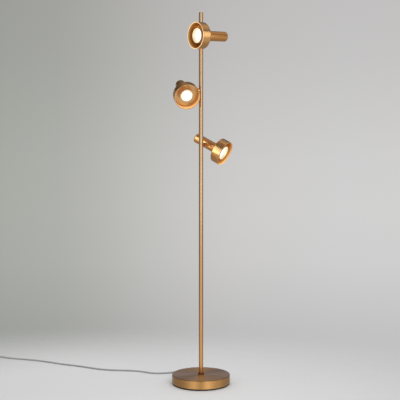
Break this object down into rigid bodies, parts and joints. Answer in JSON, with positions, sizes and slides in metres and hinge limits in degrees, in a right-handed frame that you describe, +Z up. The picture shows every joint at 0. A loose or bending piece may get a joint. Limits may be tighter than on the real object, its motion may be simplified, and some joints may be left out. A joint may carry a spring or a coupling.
{
  "type": "tree floor lamp",
  "caption": "Floor lamp with a round weighted base, a slim upright pole and tilting drum-shaded spots on short arms at staggered heights, in brushed antique brass, with lead and foot switch.",
  "frame": {"origin": "centre of the round base on the floor", "axes": "+Z up along the pole, -Y towards the viewer of the picture, +X to that viewer's right"},
  "size_m": [1.3318, 0.6999, 1.55],
  "materials": {
    "brushed_brass": "spun and brushed antique brass, satin lacquer",
    "pole_brass": "drawn tube, satin antique brass",
    "black_plastic": "moulded, fine matt grain",
    "black_felt": "soft anti-slip pad",
    "grey_iron": "rough cast, blackened",
    "zinc_steel": "bright zinc plated",
    "nylon": "natural nylon",
    "white_ceramic": "glazed ceramic",
    "bulb_white": "white enamelled reflector body",
    "bulb_lens": "clear lens over a warm white light source",
    "grey_braid": "woven textile sleeve over a round mains lead",
    "wire_sleeve": "silicone insulated wires",
    "black_rubber": "moulded flexible",
    "pin_metal": "nickel plated brass"
  },
  "bodies": {
    "stand": {"base_cover": "brushed_brass", "pole_foot": "brushed_brass", "pole_lower": "pole_brass", "pole_middle": "pole_brass", "pole_upper": "pole_brass", "pole_top_cap": "pole_brass", "arm_top": "pole_brass", "arm_middle": "pole_brass", "arm_lower": "pole_brass", "base_plate": "black_plastic", "floor_pad": "black_felt", "base_weight": "grey_iron", "base_screws": "zinc_steel", "base_spacer": "zinc_steel", "pole_stud": "zinc_steel", "base_washer": "zinc_steel", "base_nut": "zinc_steel", "pole_couplers": "zinc_steel", "swivel_spring_washers": "zinc_steel", "swivel_lock_nuts": "zinc_steel", "swivel_friction_washers": "nylon", "terminal_block": "nylon", "internal_wiring": "wire_sleeve", "cord_gland": "black_rubber", "cord": "grey_braid", "cord_coil": "grey_braid", "switch_base": "black_plastic", "switch_cover": "black_plastic", "switch_mechanism": "nylon", "switch_reliefs": "black_rubber", "plug_body": "black_plastic", "plug_pins": "pin_metal"},
    "foot_button": {"switch_button": "black_plastic"},
    "spot_top": {"housing_top": "brushed_brass", "shade_top": "brushed_brass", "glare_ring_top": "brushed_brass", "swivel_saddle_top": "brushed_brass", "inner_saddle_top": "zinc_steel", "holder_bracket_top": "zinc_steel", "lampholder_top": "white_ceramic", "bulb_body_top": "bulb_white", "bulb_lens_top": "bulb_lens"},
    "spot_middle": {"housing_middle": "brushed_brass", "shade_middle": "brushed_brass", "glare_ring_middle": "brushed_brass", "swivel_saddle_middle": "brushed_brass", "inner_saddle_middle": "zinc_steel", "holder_bracket_middle": "zinc_steel", "lampholder_middle": "white_ceramic", "bulb_body_middle": "bulb_white", "bulb_lens_middle": "bulb_lens"},
    "spot_lower": {"housing_lower": "brushed_brass", "shade_lower": "brushed_brass", "glare_ring_lower": "brushed_brass", "swivel_saddle_lower": "brushed_brass", "inner_saddle_lower": "zinc_steel", "holder_bracket_lower": "zinc_steel", "lampholder_lower": "white_ceramic", "bulb_body_lower": "bulb_white", "bulb_lens_lower": "bulb_lens"}
  },
  "joints": [
    {"name": "tilt_top", "type": "hinge", "parent": "stand", "child": "spot_top", "pos_m": [0, 0, 1.4444], "axis": [-0.6046, 0.7965, 0], "range_deg": [-87.1, 92.9]},
    {"name": "tilt_middle", "type": "hinge", "parent": "stand", "child": "spot_middle", "pos_m": [0, 0, 1.2302], "axis": [-0.972, -0.2351, 0], "range_deg": [-65.6, 114.4]},
    {"name": "tilt_lower", "type": "hinge", "parent": "stand", "child": "spot_lower", "pos_m": [0, 0, 1.0057], "axis": [-0.4493, -0.8934, 0], "range_deg": [-63.1, 116.9]},
    {"name": "switch_press", "type": "slide", "parent": "stand", "child": "foot_button", "axis": [0, 0, -1], "range_m": [0, 0.0022], "stiffness_N_per_m": 700, "springref_m": -0.0006}
  ]
}
